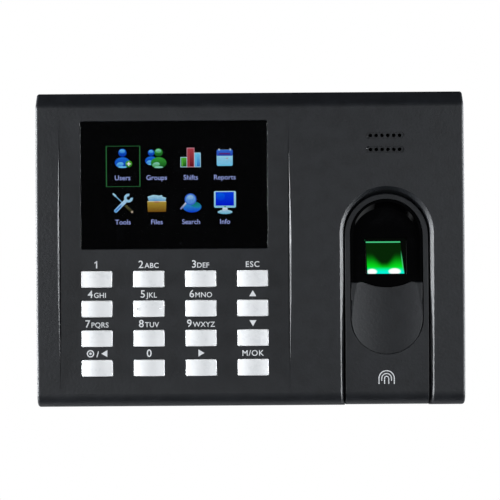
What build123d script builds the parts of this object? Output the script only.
from build123d import *
import os
from math import atan2, degrees

# A wall-mounted fingerprint terminal, in millimetres.
# X runs to the right and Z up. The wall is the plane Y = 0 and the face looks along -Y.
# The origin is the middle of the wall plate's screw pattern, on the wall.
# "out" is a distance in front of the wall, so what stands at out has Y = -out.

# Case
width = 185.0
height = 136.0
depth = 30.0
wall = 2.4
parting_out = 14.0
face_edge_out = 28.5
bevel_drop = 5.6
bevel_run = 6.4
bevel_outer_r = 2.4
bevel_face_r = 3.6
bottom_roll_r = 6.5
side_edge_r = 1.2
rear_inset = 0.4
rear_out = 0.5
rear_corner_r = 3.0
fit_gap = 0.2

# Flat panel sunk between the two creases
panel_left = -82.4
panel_right = 16.9
panel_out = 28.75
panel_wall = 2.65
crease_r = 0.8
crease_foot = 0.5
groove_w = 0.5
groove_deep = 0.7
groove_half = 46.0

# Display
window_left = -73.1
window_w = 80.7
window_h = 55.0
window_bottom = 0.4
window_thick = 1.5
window_r = 0.9
window_gap = 0.12
window_ledge = 3.2
rim_r = 0.3
lcd_w = 77.0
lcd_h = 63.0
lcd_thick = 3.2
lcd_lip = 2.6
lcd_skin = 0.4

# Keypad
key_w = 13.4
key_h = 7.1
key_rows = 4
key_cols = 4
key_row_pitch = 12.78
key_top_z = -12.65
key_proud = 1.1
key_gap = 0.18
key_corner_r = 0.5
key_edge_r = 0.35
key_wall = 1.0
key_flange = 0.9
key_flange_thick = 0.8
key_travel = 0.8
dome_w = 8.0
dome_h = 3.2
membrane_thick = 1.0
board_thick = 1.6
keypad_margin = 5.0

# Speaker
speaker_x = 58.4
speaker_z = 45.6
slot_w = 16.6
slot_h = 2.9
slot_gap = 6.05
slot_deep = 0.7
sound_holes = 6
sound_pitch = 2.52
sound_r = 0.8
speaker_r = 14.0
speaker_thick = 5.0
speaker_seat_out = 24.5
gasket_thick = 1.0

# Finger bay
bay_x = 58.8
bay_r = 19.0
bay_z = 6.6
bay_back_r = 18.3
bay_back_z = 5.6
bay_back_out = 24.0
bay_floor_out = 17.0
bezel_gap = 0.2
bezel_bottom_gap = 0.2
bezel_top_out = 25.6
bezel_mid_out = 28.9
bezel_mid_z = -18.0
bezel_low_out = 28.0
bezel_edge_r = 0.5
cup_r = 15.8
cup_low_z = -30.1
cup_gap = 0.2
skirt_wall = 2.2

# Sensor
hood_split_z = -14.3
hood_bulge_z = -16.7
hood_bulge_r = 24.0
hood_split_gap = 0.3
hood_low_out = 27.2
hood_high_out = 19.6
hood_high_z = 20.0
hood_rim = 1.1
hood_back_out = 16.2
glass_w = 18.0
glass_h = 16.2
glass_z = -3.6
glass_deep = 8.0
glass_gap = 0.15
rest_trough_r = 80.0
rest_edge_r = 0.6
housing_w = 27.0
housing_low_z = -17.0
housing_high_z = 14.0
housing_wall = 1.5
lens_r = 4.0

# Rear shell, wall plate and boards
floor_out = 2.5
floor_thick = 1.6
plate_w = 140.0
plate_h = 88.0
plate_thick = 1.2
plate_gap = 1.0
screw_span_x = 100.0
screw_span_z = 60.0
screw_hole_r = 2.3
plate_window_w = 60.0
plate_window_h = 30.0
hook_x = 40.0
hook_z = 36.0
hook_w = 10.0
hook_rise = 3.6
board_out = 6.4
board_left = -80.0
board_right = 36.0
board_foot = 6.5
board_high = 40.0
boss_r = 3.2
pilot_r = 1.1
screw_r = 1.05
small_boss_r = 2.2
small_pilot_r = 0.85
small_screw_r = 0.8
case_screw_inset_x = 7.4
case_screw_inset_z = 8.4

cell_x = -2.0
cell_z = 24.0
cell_r = 10.0
cell_thick = 3.2
lock_tab_w = 18.0
lock_tab_out = 9.0
lock_tab_rise = 1.4
lock_screw_out = 5.5

# Sockets along the lower edge
network_x = 27.0
network_w = 16.0
network_tall = 13.4
network_long = 18.0
power_x = -21.0
power_w = 9.0
power_tall = 11.0
power_long = 13.0
usb_x = -40.0
usb_w = 13.2
usb_tall = 6.2
usb_long = 14.0
socket_gap = 0.4

# Tamper switch and reset switch
tamper_x = -66.0
tamper_z = -4.0
tamper_r = 1.0
tamper_travel = 0.6
reset_x = 12.0
reset_z = 4.0
reset_r = 1.0
reset_travel = 0.25
running_gap = 0.05

# Places worked out from the sizes above
half_w = width / 2
half_h = height / 2
window_x = window_left + window_w / 2
window_z = window_bottom + window_h / 2
key_pitch = (window_w - key_w) / (key_cols - 1)
key_first_x = window_left + key_w / 2
panel_back_out = panel_out - panel_wall
flange_back_out = panel_back_out - key_flange_thick
membrane_out = flange_back_out - key_travel - 0.15
membrane_back_out = membrane_out - membrane_thick
keypad_board_back = membrane_back_out - board_thick
keypad_low_z = key_top_z - (key_rows - 1) * key_row_pitch
floor_in_out = floor_out + floor_thick
board_front = board_out + board_thick
lcd_front_out = panel_back_out - 0.1
lcd_back_out = lcd_front_out - lcd_thick
hood_slope = (hood_low_out - hood_high_out) / (hood_high_z - hood_bulge_z)
socket_z = -half_h + 1.2
board_low = -half_h + board_foot

key_names = [
    ["key_1", "key_2", "key_3", "key_esc"],
    ["key_4", "key_5", "key_6", "key_up"],
    ["key_7", "key_8", "key_9", "key_down"],
    ["key_left", "key_0", "key_right", "key_ok"],
]


def block(x0, x1, out0, out1, z0, z1):
    size = Box(x1 - x0, out1 - out0, z1 - z0)
    return Pos((x0 + x1) / 2, -(out0 + out1) / 2, (z0 + z1) / 2) * size


def prism(sketch, out0, out1):
    return extrude(Plane.XZ.offset(out0) * sketch, out1 - out0)


def rod(x, z, out0, out1, radius):
    return prism(Pos(x, z) * Circle(radius), out0, out1)


def slab(x, z, w, h, out0, out1, radius=0.0):
    sketch = RectangleRounded(w, h, radius) if radius else Rectangle(w, h)
    return prism(Pos(x, z) * sketch, out0, out1)


def near(sketch, u, v):
    return sketch.vertices().sort_by_distance((u, v, 0))[0]


# The case's side outline: bevelled top, gently crowned face and rolled bottom edge.
def side_outline():
    bevel_start = (-(face_edge_out - bevel_run), half_h)
    face_top = (-face_edge_out, half_h - bevel_drop)
    face_low = (-face_edge_out, -half_h)
    lines = Polyline((-parting_out, -half_h), (-parting_out, half_h), bevel_start, face_top)
    lines += ThreePointArc(face_top, (-depth, 0), face_low)
    lines += Line(face_low, (-parting_out, -half_h))
    outline = fillet(near(make_face(lines), *face_low), bottom_roll_r)
    outline = fillet(near(outline, *bevel_start), bevel_outer_r)
    return fillet(near(outline, *face_top), bevel_face_r)


def outer_case():
    case = extrude(Plane.YZ.offset(-half_w) * side_outline(), width)
    ends = [e for e in case.edges() if abs(abs(e.center().X) - half_w) < 0.01]
    ends = [e for e in ends if e.center().Y < -parting_out - 0.01]
    return fillet(ends, side_edge_r)


# The room inside the front shell, flat behind the face so that the boards and the display sit level.
def case_hollow():
    top = half_h - wall
    low_face = (-panel_back_out, -top)
    lines = Polyline(
        (-parting_out + 2, -top),
        (-parting_out + 2, top),
        (-(face_edge_out - bevel_run - wall), top),
        (-panel_back_out, top - bevel_drop),
        low_face,
        (-parting_out + 2, -top),
    )
    outline = fillet(near(make_face(lines), *low_face), bottom_roll_r - wall)
    half = half_w - wall
    return extrude(Plane.YZ.offset(-half) * outline, 2 * half)


# The sunk panel: its cutter's sides flare in two steps, so that the crease's outer edge comes out eased.
def panel_cutter():
    low, mid, high = panel_out + crease_foot, depth - 0.2, depth + 1
    flare = [(0, panel_out), (0, low), (crease_r / 2, mid), (crease_r * 2 + 1.6, high)]
    right = [(panel_right + across, -out) for across, out in flare]
    left = [(panel_left - across, -out) for across, out in reversed(flare)]
    points = right + left
    return extrude(Plane.XY.offset(-half_h) * make_face(Polyline(*points, points[0])), height)


# A shallow groove at the foot of each crease, deepest at mid height and running out at both ends.
def crease_groove(x0):
    ends = (-panel_out - 0.01, groove_half), (-panel_out - 0.01, -groove_half)
    lens = ThreePointArc(ends[0], (-panel_out + groove_deep, 0), ends[1]) + Line(ends[1], ends[0])
    return extrude(Plane.YZ.offset(x0) * make_face(lens), groove_w)


def arch(radius, centre_z):
    low = -half_h - 2
    body = Pos(bay_x, (low + centre_z) / 2) * Rectangle(2 * radius, centre_z - low)
    return body + Pos(bay_x, centre_z) * Circle(radius)


def stadium(radius):
    span = bay_back_z - cup_low_z
    body = Pos(bay_x, (bay_back_z + cup_low_z) / 2) * Rectangle(2 * radius, span)
    return body + Pos(bay_x, bay_back_z) * Circle(radius) + Pos(bay_x, cup_low_z) * Circle(radius)


def arch_outline(radius, centre_z, out):
    low = -half_h - 2
    left, right = (bay_x - radius, centre_z), (bay_x + radius, centre_z)
    path = Line((bay_x - radius, low), left)
    path += ThreePointArc(left, (bay_x, centre_z + radius), right)
    path += Polyline(right, (bay_x + radius, low), (bay_x - radius, low))
    return Plane.XZ.offset(out) * make_face(path)


# The bay's opening in the case: its wall leans in from the face, most at the top of the arch.
def bay_cutter():
    grow = (bay_r - bay_back_r) / (depth - bay_back_out)
    rise = (bay_z - bay_back_z) / (depth - bay_back_out)
    far = depth + 4
    far_face = arch_outline(bay_r + grow * 4, bay_z + rise * 4, far)
    leaning = loft([arch_outline(bay_back_r, bay_back_z, bay_back_out), far_face], ruled=True)
    return leaning + prism(arch(bay_back_r, bay_back_z), bay_floor_out, bay_back_out)


def key_centres():
    for row in range(key_rows):
        for col in range(key_cols):
            yield row, col, key_first_x + col * key_pitch, key_top_z - row * key_row_pitch


def keypad_screw_places():
    for col in (0.5, key_cols - 1.5):
        for row in (0.5, key_rows - 1.5):
            yield key_first_x + col * key_pitch, key_top_z - row * key_row_pitch


def case_screw_places():
    x = half_w - case_screw_inset_x
    z = half_h - case_screw_inset_z
    return [(-x, z), (x, z), (-x, -z), (x, -z), (panel_right + 10, z)]


def bezel_screw_places():
    x = bay_back_r + skirt_wall + small_boss_r - 0.6
    return [(bay_x + side * x, z) for side in (-1, 1) for z in (2.0, -46.0)]


def lcd_screw_places():
    x = lcd_w / 2 + small_boss_r + 0.3
    return [(window_x + side * x, window_z + z) for side in (-1, 1) for z in (-22.0, 22.0)]


def board_screw_places():
    columns = (board_left + 5, board_right - 5)
    return [(x, z) for x in columns for z in (board_low + 16, board_high - 5)]


def speaker_screw_places():
    reach = speaker_r + small_boss_r + 0.6
    return [(speaker_x - reach, speaker_z), (speaker_x + reach, speaker_z)]


# Where the three sockets pass through the lower wall of both shells.
def socket_cutters():
    sockets = [(network_x, network_w, network_tall)]
    sockets += [(power_x, power_w, power_tall), (usb_x, usb_w, usb_tall)]
    for x, w, tall in sockets:
        side = w / 2 + socket_gap
        low, high = board_front - socket_gap, board_front + tall + socket_gap
        yield block(x - side, x + side, low, high, -half_h - 2, -half_h + wall + 2)


def front_shell():
    outer = outer_case()
    hollow = case_hollow()
    shell = outer - hollow
    skirt = prism(arch(bay_back_r + skirt_wall, bay_back_z), bay_floor_out + 3, depth)
    skirt -= block(0, width, bay_floor_out, depth + 2, -half_h - 5, -half_h + wall)
    shell += skirt & outer
    seat = rod(speaker_x, speaker_z, speaker_seat_out, depth, speaker_r + 1)
    seat -= rod(speaker_x, speaker_z, speaker_seat_out - 1, depth, speaker_r - 1.5)
    shell += seat & hollow
    posts = [rod(x, z, parting_out + 0.2, depth, boss_r) for x, z in case_screw_places()]
    posts += [rod(x, z, bay_floor_out + 3, depth, small_boss_r) for x, z in bezel_screw_places()]
    posts += [rod(x, z, lcd_back_out, depth, small_boss_r) for x, z in lcd_screw_places()]
    posts += [rod(x, z, membrane_back_out, depth, small_boss_r) for x, z in keypad_screw_places()]
    posts += [rod(x, z, speaker_seat_out - 2, depth, small_boss_r) for x, z in speaker_screw_places()]
    for post in posts:
        shell += post & hollow
    shell -= panel_cutter()
    shell -= crease_groove(panel_left)
    shell -= crease_groove(panel_right - groove_w)
    shell -= bay_cutter()
    pocket_w, pocket_h = window_w + 2 * window_gap, window_h + 2 * window_gap
    pocket_out = panel_out - window_thick - 0.05
    shell -= slab(window_x, window_z, pocket_w, pocket_h, pocket_out, depth + 1, window_r)
    open_w, open_h = window_w - 2 * window_ledge, window_h - window_ledge
    shell -= slab(window_x, window_z, open_w, open_h, panel_back_out - 1, depth, window_r)
    for row, col, x, z in key_centres():
        hole_w, hole_h = key_w + 2 * key_gap, key_h + 2 * key_gap
        shell -= slab(x, z, hole_w, hole_h, panel_back_out - 1, depth, key_corner_r + key_gap)
    for side in (-0.5, 0.5):
        slot_z = speaker_z + side * slot_gap
        face_out = depth - slot_deep - 0.75
        shell -= prism(Pos(speaker_x, slot_z) * SlotOverall(slot_w, slot_h), face_out, depth + 1)
        for hole in range(sound_holes):
            hole_x = speaker_x + (hole - (sound_holes - 1) / 2) * sound_pitch
            shell -= rod(hole_x, slot_z, speaker_seat_out, depth, sound_r)
    for x, z in case_screw_places():
        shell -= rod(x, z, parting_out - 1, parting_out + 9, pilot_r)
    for x, z in bezel_screw_places():
        shell -= rod(x, z, bay_floor_out + 2, bay_floor_out + 8, small_pilot_r)
    for x, z in lcd_screw_places():
        shell -= rod(x, z, lcd_back_out - 1, lcd_back_out + 4, small_pilot_r)
    for x, z in keypad_screw_places():
        shell -= rod(x, z, membrane_back_out - 1, membrane_back_out + 4, small_pilot_r)
    for x, z in speaker_screw_places():
        shell -= rod(x, z, speaker_seat_out - 3, speaker_seat_out + 1.2, small_pilot_r)
    for cutter in socket_cutters():
        shell -= cutter
    return ease_rims(shell)


# The front edges of the window pocket and of the key holes, which the mould leaves slightly rounded.
def ease_rims(shell):
    on_panel = shell.edges().filter_by(lambda e: abs(e.bounding_box().min.Y + panel_out) < 0.001)
    on_panel = on_panel.filter_by(lambda e: abs(e.bounding_box().max.Y + panel_out) < 0.001)
    inner = [e for e in on_panel if panel_left + 1 < e.center().X < panel_right - 1]
    return fillet([e for e in inner if abs(e.center().Z) < half_h - 8], rim_r)


# Rear shell: a tray with a shallow seat for the wall plate, hook slots and the board's standoffs.
def rear_shell():
    w, h = width - 2 * rear_inset, height - 2 * rear_inset
    tray = slab(0, 0, w, h, rear_out, parting_out, rear_corner_r)
    tray -= slab(0, 0, w - 2 * wall, h - 2 * wall, floor_in_out, parting_out + 1, rear_corner_r - 1)
    tray -= slab(0, 0, plate_w + 2 * plate_gap, plate_h + 2 * plate_gap, rear_out - 1, floor_out, 2)
    side = lock_tab_w / 2 + plate_gap
    lip_top = -half_h + lock_tab_rise + plate_thick
    tray += block(-side - 2, side + 2, floor_in_out - 0.5, lock_tab_out + 2.6, -half_h + 1, lip_top + 3.8)
    tray -= block(-side, side, rear_out - 1, floor_out, -half_h - 1, -plate_h / 2)
    tray -= block(-side, side, rear_out - 1, lock_tab_out + 0.5, -half_h - 1, lip_top + fit_gap)
    tray -= Pos(0, -lock_screw_out, lip_top + 2) * Cylinder(pilot_r, 4.5)
    for x, z in case_screw_places():
        tray += rod(x, z, floor_in_out - 0.5, parting_out - 0.1, boss_r + 1)
        tray -= rod(x, z, rear_out - 1, parting_out, screw_r + 0.4)
        tray -= rod(x, z, rear_out - 1, rear_out + 6, boss_r - 0.4)
    for x, z in board_screw_places():
        tray += rod(x, z, floor_in_out - 0.5, board_out, boss_r)
        tray -= rod(x, z, floor_out + 0.6, board_out + 1, small_pilot_r)
    for side in (-1, 1):
        x = side * hook_x
        slot_w_half = hook_w / 2 + 0.5
        low, high = hook_z - 5, hook_z + plate_thick + 0.3
        tray -= block(x - slot_w_half, x + slot_w_half, rear_out, floor_in_out + 1, low, high)
    tray -= rod(tamper_x, tamper_z, rear_out, floor_in_out + 1, tamper_r + 0.3)
    tray -= rod(reset_x, reset_z, rear_out, floor_in_out + 1, reset_r - 0.1)
    for cutter in socket_cutters():
        tray -= cutter
    return tray


# Wall plate: folded steel with four slots, a middle window, two hooks and a lower tab.
def wall_plate():
    plate = slab(0, 0, plate_w, plate_h, 0, plate_thick, 2)
    lip_low = -half_h + lock_tab_rise
    tab = block(-lock_tab_w / 2, lock_tab_w / 2, 0, plate_thick, lip_low, -plate_h / 2 + 1)
    tab += block(-lock_tab_w / 2, lock_tab_w / 2, 0, lock_tab_out, lip_low, lip_low + plate_thick)
    plate += tab - Pos(0, -lock_screw_out, lip_low) * Cylinder(screw_r + 0.25, 6)
    plate -= slab(0, 0, plate_window_w, plate_window_h, -1, plate_thick + 1, 3)
    for x in (-screw_span_x / 2, screw_span_x / 2):
        for z in (-screw_span_z / 2, screw_span_z / 2):
            plate -= rod(x, z, -1, plate_thick + 1, screw_hole_r)
    tip_out = floor_in_out + 0.1
    for side in (-1, 1):
        x0, x1 = side * hook_x - hook_w / 2, side * hook_x + hook_w / 2
        plate += block(x0, x1, 0.2, tip_out + plate_thick, hook_z, hook_z + plate_thick)
        plate += block(x0, x1, tip_out, tip_out + plate_thick, hook_z, hook_z + hook_rise)
    return plate


# A pan-head screw: its head points along head_way and its head's underside is at the given place.
def screw(place, head_way, length, radius, head_r, head_thick):
    head = Pos(0, 0, head_thick / 2) * Cylinder(head_r, head_thick)
    head = fillet(head.edges().sort_by(Axis.Z)[-1], head_thick * 0.4)
    long, short = head_r * 1.1, head_r * 0.28
    recess = Box(long, short, head_thick) + Box(short, long, head_thick)
    shank = Pos(0, 0, -length / 2 + 0.01) * Cylinder(radius, length)
    solid = head + shank - Pos(0, 0, head_thick) * recess
    return Plane(origin=place, x_dir=(1, 0, 0), z_dir=head_way) * solid


def screws_from_behind(places, out, length, radius=small_screw_r, head_r=1.7, head_thick=1.1):
    screws = [screw((x, -out, z), (0, 1, 0), length, radius, head_r, head_thick) for x, z in places]
    return Compound(screws)


def case_screws():
    return screws_from_behind(case_screw_places(), rear_out + 6, 12, screw_r, 2.5, 1.8)


def security_screw():
    place = (0, -lock_screw_out, -half_h + lock_tab_rise)
    return screw(place, (0, 0, -1), 4.4, screw_r, 2.1, 1.2)


def board_screws():
    places = [(x, -board_front, z) for x, z in board_screw_places()]
    return Compound([screw(place, (0, -1, 0), 4.6, small_screw_r, 1.7, 1.1) for place in places])


def key_cap(x, z):
    front = panel_out + key_proud
    cap = slab(x, z, key_w, key_h, flange_back_out, front, key_corner_r)
    cap = fillet(cap.faces().sort_by(Axis.Y)[0].edges(), key_edge_r)
    w, h = key_w + 2 * key_flange, key_h + 2 * key_flange
    cap += slab(x, z, w, h, flange_back_out, panel_back_out, key_corner_r)
    hollow_w, hollow_h = key_w - 2 * key_wall, key_h - 2 * key_wall
    return cap - slab(x, z, hollow_w, hollow_h, flange_back_out - 1, front - key_wall)


# Two small nubs beside the middle digit, which a finger can find without looking.
def locating_nubs(x, z):
    top = panel_out + key_proud
    nubs = [rod(x + side * (key_w / 2 - 1.6), z, top - 0.3, top + 0.25, 0.5) for side in (-1, 1)]
    return nubs[0] + nubs[1]


def keypad_bounds(margin):
    x0 = key_first_x - key_w / 2 - margin
    x1 = key_first_x + (key_cols - 1) * key_pitch + key_w / 2 + margin
    return x0, x1, keypad_low_z - key_h / 2 - margin, key_top_z + key_h / 2 + 2.5


def keypad_membrane():
    x0, x1, z0, z1 = keypad_bounds(keypad_margin - 1)
    sheet = block(x0, x1, membrane_back_out, membrane_out, z0, z1)
    dome_top = panel_out + key_proud - key_wall - key_travel - 0.15
    for row, col, x, z in key_centres():
        dome = slab(x, z, dome_w, dome_h, membrane_out - 0.5, dome_top, 0.8)
        sheet += dome - slab(x, z, dome_w - 1.6, dome_h - 1.6, membrane_back_out, dome_top - 0.8)
        sheet -= slab(x, z, dome_w - 1.6, dome_h - 1.6, membrane_back_out - 1, dome_top - 0.8)
    for x, z in keypad_screw_places():
        sheet -= rod(x, z, membrane_back_out - 1, membrane_out + 1, small_boss_r + fit_gap)
    return sheet


def keypad_board():
    x0, x1, z0, z1 = keypad_bounds(keypad_margin)
    board = block(x0, x1, keypad_board_back, membrane_back_out, z0, z1)
    for x, z in keypad_screw_places():
        board -= rod(x, z, keypad_board_back - 1, membrane_back_out + 1, small_screw_r + 0.3)
    plug_x = key_first_x + key_pitch
    board += block(plug_x - 8, plug_x + 8, keypad_board_back - 1.8, keypad_board_back + 0.1, z1 - 8, z1 - 3)
    return board


def display_window():
    back = panel_out - window_thick
    pane = slab(window_x, window_z, window_w, window_h, back, panel_out, window_r)
    return chamfer(pane.faces().sort_by(Axis.Y)[0].edges(), 0.15)


def lcd_frame():
    frame = slab(window_x, window_z, lcd_w, lcd_h, lcd_back_out, lcd_front_out)
    in_w, in_h = lcd_w - 2 * lcd_skin, lcd_h - 2 * lcd_skin
    frame -= slab(window_x, window_z, in_w, in_h, lcd_back_out - 1, lcd_front_out - lcd_skin)
    view_w, view_h = lcd_w - 2 * lcd_lip, lcd_h - 4 * lcd_lip
    frame -= slab(window_x, window_z, view_w, view_h, lcd_back_out, lcd_front_out + 1)
    for x, z in lcd_screw_places():
        side = 1 if x > window_x else -1
        inner = window_x + side * (lcd_w / 2 - lcd_skin)
        ends = sorted((inner, x + side * 2.4))
        ear = block(ends[0], ends[1], lcd_back_out - 0.8, lcd_back_out, z - 2.4, z + 2.4)
        frame += ear - rod(x, z, lcd_back_out - 2, lcd_back_out + 1, small_screw_r + 0.2)
    return frame


def lcd_panel():
    w, h = lcd_w - 2 * lcd_skin - 0.2, lcd_h - 2 * lcd_skin - 0.2
    return slab(window_x, window_z, w, h, lcd_back_out + 0.05, lcd_front_out - lcd_skin)


# A flat cable, as a thin ribbon that bends in the plane of a given X.
def ribbon(x0, x1, route, thick=0.3, bend=1.5):
    path = FilletPolyline(*[(-out, z) for out, z in route], radius=bend)
    return extrude(Plane.YZ.offset(x0) * trace(path, thick), x1 - x0)


def lcd_ribbon():
    z = window_z - 10
    hang_out = lcd_back_out - 2.2
    route = [(lcd_back_out - 0.1, z + 8), (hang_out, z + 8), (hang_out, z), (board_front + 1.6, z)]
    return ribbon(window_x - 10, window_x + 10, route)


def keypad_ribbon():
    x = key_first_x + key_pitch
    z = key_top_z + key_h / 2 + 2.5 - 5.5
    hang_out = keypad_board_back - 5
    route = [(keypad_board_back - 1.9, z), (hang_out, z), (hang_out, z - 8), (board_front + 1.6, z - 8)]
    return ribbon(x - 6, x + 6, route)


# Main board with its connectors' bodies, and the chips as solids of their own.
def main_board():
    board = block(board_left, board_right, board_out, board_front, board_low, board_high)
    for x, z in board_screw_places():
        board -= rod(x, z, board_out - 1, board_front + 1, small_screw_r + 0.3)
    board -= rod(tamper_x, tamper_z, board_out - 1, board_front + 1, tamper_r + 0.4)
    return board


def board_connectors():
    z_lcd = window_z - 10
    z_pad = key_top_z + key_h / 2 + 2.5 - 13.5
    x_pad = key_first_x + key_pitch
    low, high = board_front + 1.5, board_front + 5
    blocks = [block(window_x - 12, window_x + 12, board_front, low, z_lcd - 2, z_lcd + 2)]
    blocks += [block(x_pad - 8, x_pad + 8, board_front, low, z_pad - 2, z_pad + 2)]
    blocks += [block(board_right - 6, board_right - 1, board_front, high, -8, 4)]
    blocks += [block(board_right - 6, board_right - 1, board_front, high, 18, 24)]
    return Compound(blocks)


def board_chips():
    plans = [(-46, 2, 16, 16, 1.4), (-4, -6, 12, 18, 1.1), (-22, -4, 12, 18, 1.1), (25, -26, 13, 10, 2)]
    chips = [slab(x, z, w, h, board_front, board_front + rise) for x, z, w, h, rise in plans]
    chips += [rod(-66, z, board_front, board_front + 8, 4) for z in (28, 16)]
    return Compound(chips)


def network_socket():
    low = socket_z
    x0, x1 = network_x - network_w / 2, network_x + network_w / 2
    body = block(x0, x1, board_front, board_front + network_tall, low, low + network_long)
    mid = board_front + network_tall / 2
    body -= block(network_x - 5.9, network_x + 5.9, mid - 3.6, mid + 3.4, low - 1, low + 13)
    body -= block(network_x - 3.1, network_x + 3.1, mid - 5.2, mid - 3, low - 1, low + 13)
    return body


def network_contacts():
    mid = board_front + network_tall / 2
    pins = []
    for pin in range(8):
        x = network_x + (pin - 3.5) * 1.02
        pins.append(block(x - 0.2, x + 0.2, mid + 2.6, mid + 3.4, socket_z + 4, socket_z + 12.9))
    return Compound(pins)


def power_jack():
    low = socket_z
    x0, x1 = power_x - power_w / 2, power_x + power_w / 2
    body = block(x0, x1, board_front, board_front + power_tall, low, low + power_long)
    mid = board_front + power_tall / 2
    bore = Pos(power_x, -mid, low + 4.5) * Cylinder(3.2, 11)
    pin = Pos(power_x, -mid, low + 5.2) * Cylinder(1.0, 9.6)
    return body - bore + pin


def usb_socket():
    low = socket_z
    out0, out1 = board_front, board_front + usb_tall
    x0, x1 = usb_x - usb_w / 2, usb_x + usb_w / 2
    body = block(x0, x1, out0, out1, low, low + usb_long)
    return body - block(x0 + 0.4, x1 - 0.4, out0 + 0.5, out1 - 0.5, low - 1, low + usb_long - 1)


def usb_tongue():
    mid = board_front + usb_tall / 2
    return block(usb_x - 5.5, usb_x + 5.5, mid + 0.2, mid + 2.0, socket_z + 0.8, socket_z + usb_long - 1)


def coin_cell():
    return rod(cell_x, cell_z, board_front + 1.0, board_front + 1.0 + cell_thick, cell_r)


def cell_holder():
    holder = rod(cell_x, cell_z, board_front, board_front + 3.0, cell_r + 1.4)
    holder -= rod(cell_x, cell_z, board_front + 1.0, board_front + 4, cell_r + 0.15)
    thumb_z = cell_z - cell_r
    low, high = board_front + 1.0, board_front + 4
    return holder - block(cell_x - 5, cell_x + 5, low, high, thumb_z - 4, thumb_z + 4)


def tamper_switch():
    body = slab(tamper_x, tamper_z - 2, 6, 9, board_front, board_front + 6.5)
    return body - rod(tamper_x, tamper_z, board_front - 1, board_front + 5.5, tamper_r + running_gap)


def tamper_plunger():
    tip = plate_thick + 0.05
    pin = rod(tamper_x, tamper_z, tip, board_front + 5.5 - tamper_travel - 0.1, tamper_r)
    return fillet(pin.edges().sort_by(Axis.Y)[-1], 0.4)


def reset_switch():
    body = slab(reset_x, reset_z, 4.5, 4.5, floor_in_out + 0.7, board_out)
    return body - rod(reset_x, reset_z, floor_in_out, board_out - 0.2, reset_r + running_gap)


def reset_button():
    return rod(reset_x, reset_z, floor_in_out + 0.3, board_out - 0.2 - reset_travel - 0.1, reset_r)


# The arched surround that fills the bay, from the case's rolled bottom edge to the top of the arch.
def bezel_outline(inset, back_out):
    low_z = -half_h + bezel_bottom_gap + inset
    top_z = bay_back_z + bay_back_r + 2
    face_low = (-(bezel_low_out - inset), low_z)
    face_top = (-(bezel_top_out - inset), bay_back_z + bay_back_r)
    back_low, back_top = (-back_out, low_z), (-back_out, top_z)
    lines = Polyline(face_low, back_low, back_top, (face_top[0] + 0.35, top_z), face_top)
    lines += ThreePointArc(face_top, (-(bezel_mid_out - inset), bezel_mid_z), face_low)
    outline = make_face(lines)
    return fillet(near(outline, *face_low), bottom_roll_r - bezel_bottom_gap - inset)


def bezel_block(inset, back_out):
    half = 30
    return extrude(Plane.YZ.offset(bay_x - half) * bezel_outline(inset, back_out), 2 * half)


def sensor_bezel():
    radius = bay_back_r - bezel_gap
    solid = prism(arch(radius, bay_back_z), bay_floor_out + 0.1, depth + 2)
    solid &= bezel_block(0, bay_floor_out - 3)
    front = [e for e in solid.edges() if -e.center().Y > bezel_top_out - 2 and e.center().Z > -half_h + 8]
    solid = fillet(front, bezel_edge_r)
    hollow = prism(arch(cup_r + 0.3, bay_back_z), bay_floor_out - 1, depth)
    solid -= hollow & bezel_block(wall, bay_floor_out - 4)
    flange = prism(arch(bay_back_r + 1.6, bay_back_z), bay_floor_out + 0.1, bay_floor_out + 2.9)
    flange -= prism(arch(cup_r + 0.3, bay_back_z), bay_floor_out - 1, depth)
    flange -= block(0, width, 0, depth, -half_h - 5, -half_h + wall + 0.5)
    for x, z in bezel_screw_places():
        side = 1 if x > bay_x else -1
        ear_x = (x + bay_x + side * bay_back_r) / 2
        flange += slab(ear_x, z, 6.5, 5, bay_floor_out + 0.1, bay_floor_out + 2.9)
    for x, z in bezel_screw_places():
        flange -= rod(x, z, bay_floor_out - 1, bay_floor_out + 4, small_screw_r + 0.3)
    solid += flange
    return solid - prism(stadium(cup_r), bay_floor_out - 1, depth + 2)


# Everything below the hood's sloping floor, as a tall wedge that other solids are trimmed with.
def below_hood_floor(lift):
    low, high = hood_bulge_z - 6, hood_high_z + 6
    out_low = hood_low_out + 6 * hood_slope + lift
    out_high = hood_high_out - 6 * hood_slope + lift
    wedge = make_face(Polyline((0, low), (-out_low, low), (-out_high, high), (0, high), (0, low)))
    return extrude(Plane.YZ.offset(bay_x - 25) * wedge, 50)


# The hood in front view: the cup above a level split, with a shallow arc that dips below it.
def hood_plan(gap, split_gap):
    keep = Pos(bay_x, half_h + hood_split_z + split_gap) * Rectangle(60, height)
    keep += Pos(bay_x, hood_bulge_z + hood_bulge_r) * Circle(hood_bulge_r - split_gap)
    return stadium(cup_r - gap) & keep


def sensor_glass():
    tilt = degrees(atan2(hood_slope, 1))
    face_out = hood_low_out - (glass_z - hood_bulge_z) * hood_slope
    body = Box(glass_w, glass_deep, glass_h)
    lens = Pos(0, glass_deep / 2, 0) * body
    return Pos(bay_x, -face_out, glass_z) * Rot(-tilt, 0, 0) * lens


def sensor_hood():
    plan = hood_plan(cup_gap, 0)
    hood = prism(plan, hood_back_out, depth) & below_hood_floor(0)
    rim_plan = plan - stadium(cup_r - cup_gap - hood_rim)
    rim = prism(rim_plan, hood_back_out, depth) & bezel_block(0.7, 0)
    hood += rim
    tilt = degrees(atan2(hood_slope, 1))
    face_out = hood_low_out - (glass_z - hood_bulge_z) * hood_slope
    hole = Box(glass_w + 2 * glass_gap, 30, glass_h + 2 * glass_gap)
    return hood - Pos(bay_x, -face_out, glass_z) * Rot(-tilt, 0, 0) * hole


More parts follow.
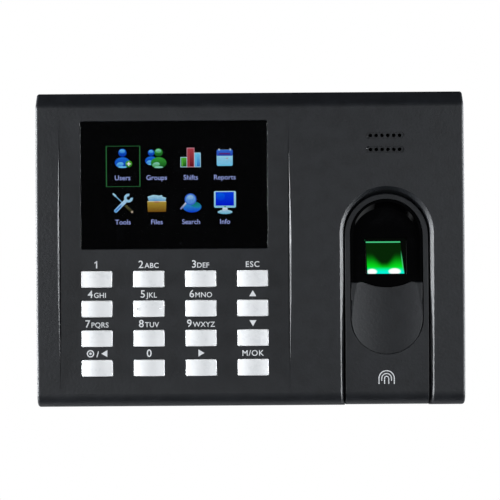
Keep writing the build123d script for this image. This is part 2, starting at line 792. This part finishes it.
def finger_rest():
    plan = stadium(cup_r - cup_gap) - hood_plan(-1, -hood_split_gap)
    pad = prism(plan, bezel_low_out - 5, depth) & bezel_block(0.15, 0)
    pad = fillet([e for e in pad.edges() if -e.bounding_box().max.Y > bezel_low_out - 1], rest_edge_r)
    trough_out = bezel_mid_out - 1.3 + rest_trough_r
    trough = Pos(bay_x, -trough_out, cup_low_z) * Cylinder(rest_trough_r, 80)
    tongue_z = cup_low_z - cup_r
    low_out, high_out = bezel_low_out - 5, bezel_low_out - wall - 0.2
    return pad - trough + block(bay_x - 8, bay_x + 8, low_out, high_out, tongue_z - 5, tongue_z + 3)


def sensor_housing():
    x0, x1 = bay_x - housing_w / 2, bay_x + housing_w / 2
    body = block(x0, x1, board_out, hood_back_out - 0.05, housing_low_z, housing_high_z)
    in_x0, in_x1 = x0 + housing_wall, x1 - housing_wall
    in_z0, in_z1 = housing_low_z + housing_wall, housing_high_z - housing_wall
    body -= block(in_x0, in_x1, board_front + housing_wall, depth, in_z0, in_z1)
    return body - rod(bay_x, glass_z, 0, board_out + 5, lens_r + 0.1)


def sensor_lens():
    barrel = rod(bay_x, glass_z, board_out + 0.1, board_out + 6.0, lens_r)
    return barrel - rod(bay_x, glass_z, board_out + 5.0, board_out + 7.0, lens_r - 1.2)


def sensor_board():
    low, high = housing_low_z + 1, housing_high_z - 1
    return block(bay_x - 13, bay_x + 13, board_out - 1.5, board_out - 0.05, low, high)


def sensor_lights():
    x0, x1 = bay_x - 9, bay_x + 9
    z = housing_high_z - housing_wall
    strip = block(x0, x1, board_out + 4.5, board_out + 9.5, z - 1.1, z - 0.1)
    lamps = [strip]
    for lamp in range(4):
        x = bay_x + (lamp - 1.5) * 4.4
        lamps.append(block(x - 1.1, x + 1.1, board_out + 6, board_out + 8, z - 2.0, z - 1.1))
    return Compound(lamps)


def speaker_parts():
    front = speaker_seat_out - gasket_thick
    gasket = rod(speaker_x, speaker_z, front, speaker_seat_out, speaker_r)
    gasket -= rod(speaker_x, speaker_z, front - 1, speaker_seat_out + 1, speaker_r - 2.5)
    basket = rod(speaker_x, speaker_z, front - 2, front, speaker_r)
    basket += rod(speaker_x, speaker_z, front - speaker_thick, front - 1.9, speaker_r - 5)
    basket -= rod(speaker_x, speaker_z, front - 0.8, front + 1, speaker_r - 2.5)
    cone = rod(speaker_x, speaker_z, front - 0.75, front - 0.45, speaker_r - 2.6)
    cone += rod(speaker_x, speaker_z, front - 0.5, front - 0.1, speaker_r - 9)
    bar = speaker_screw_places()
    x0, x1 = bar[0][0] - 2.2, bar[1][0] + 2.2
    clamp = block(x0, x1, front - 3.2, front - 2.05, speaker_z - 2.5, speaker_z + 2.5)
    clamp -= rod(speaker_x, speaker_z, front - 5, front, speaker_r - 4.8)
    left = clamp.solids().sort_by(Axis.X)[0]
    right = clamp.solids().sort_by(Axis.X)[-1]
    clips = []
    for piece, place in ((left, bar[0]), (right, bar[1])):
        post_gap = rod(place[0], place[1], front - 5, front, small_screw_r + 0.3)
        clips.append(piece - post_gap)
    return gasket, basket, cone, Compound(clips)


def main():
    os.makedirs("parts", exist_ok=True)
    gasket, basket, cone, clips = speaker_parts()
    nodes = {
        "front_shell": front_shell(),
        "rear_shell": rear_shell(),
        "wall_plate": wall_plate(),
        "case_screws": case_screws(),
        "security_screw": security_screw(),
        "display_window": display_window(),
        "lcd_frame": lcd_frame(),
        "lcd_panel": lcd_panel(),
        "lcd_ribbon": lcd_ribbon(),
        "lcd_screws": screws_from_behind(lcd_screw_places(), lcd_back_out - 0.8, 4.0),
        "keypad_membrane": keypad_membrane(),
        "keypad_board": keypad_board(),
        "keypad_screws": screws_from_behind(keypad_screw_places(), keypad_board_back, 4.6),
        "keypad_ribbon": keypad_ribbon(),
        "sensor_bezel": sensor_bezel(),
        "sensor_hood": sensor_hood(),
        "sensor_glass": sensor_glass(),
        "finger_rest": finger_rest(),
        "sensor_housing": sensor_housing(),
        "sensor_lens": sensor_lens(),
        "sensor_board": sensor_board(),
        "sensor_lights": sensor_lights(),
        "bezel_screws": screws_from_behind(bezel_screw_places(), bay_floor_out + 0.1, 7.0),
        "speaker_gasket": gasket,
        "speaker_basket": basket,
        "speaker_cone": cone,
        "speaker_clips": clips,
        "main_board": main_board(),
        "board_connectors": board_connectors(),
        "board_chips": board_chips(),
        "board_screws": board_screws(),
        "network_socket": network_socket(),
        "network_contacts": network_contacts(),
        "power_jack": power_jack(),
        "usb_socket": usb_socket(),
        "usb_tongue": usb_tongue(),
        "coin_cell": coin_cell(),
        "cell_holder": cell_holder(),
        "tamper_switch": tamper_switch(),
        "tamper_plunger": tamper_plunger(),
        "reset_switch": reset_switch(),
        "reset_button": reset_button(),
    }
    for row, col, x, z in key_centres():
        name = key_names[row][col]
        cap = key_cap(x, z)
        nodes[name] = cap + locating_nubs(x, z) if name == "key_5" else cap
    for name, solid in nodes.items():
        export_step(solid, f"parts/{name}.step")


main()
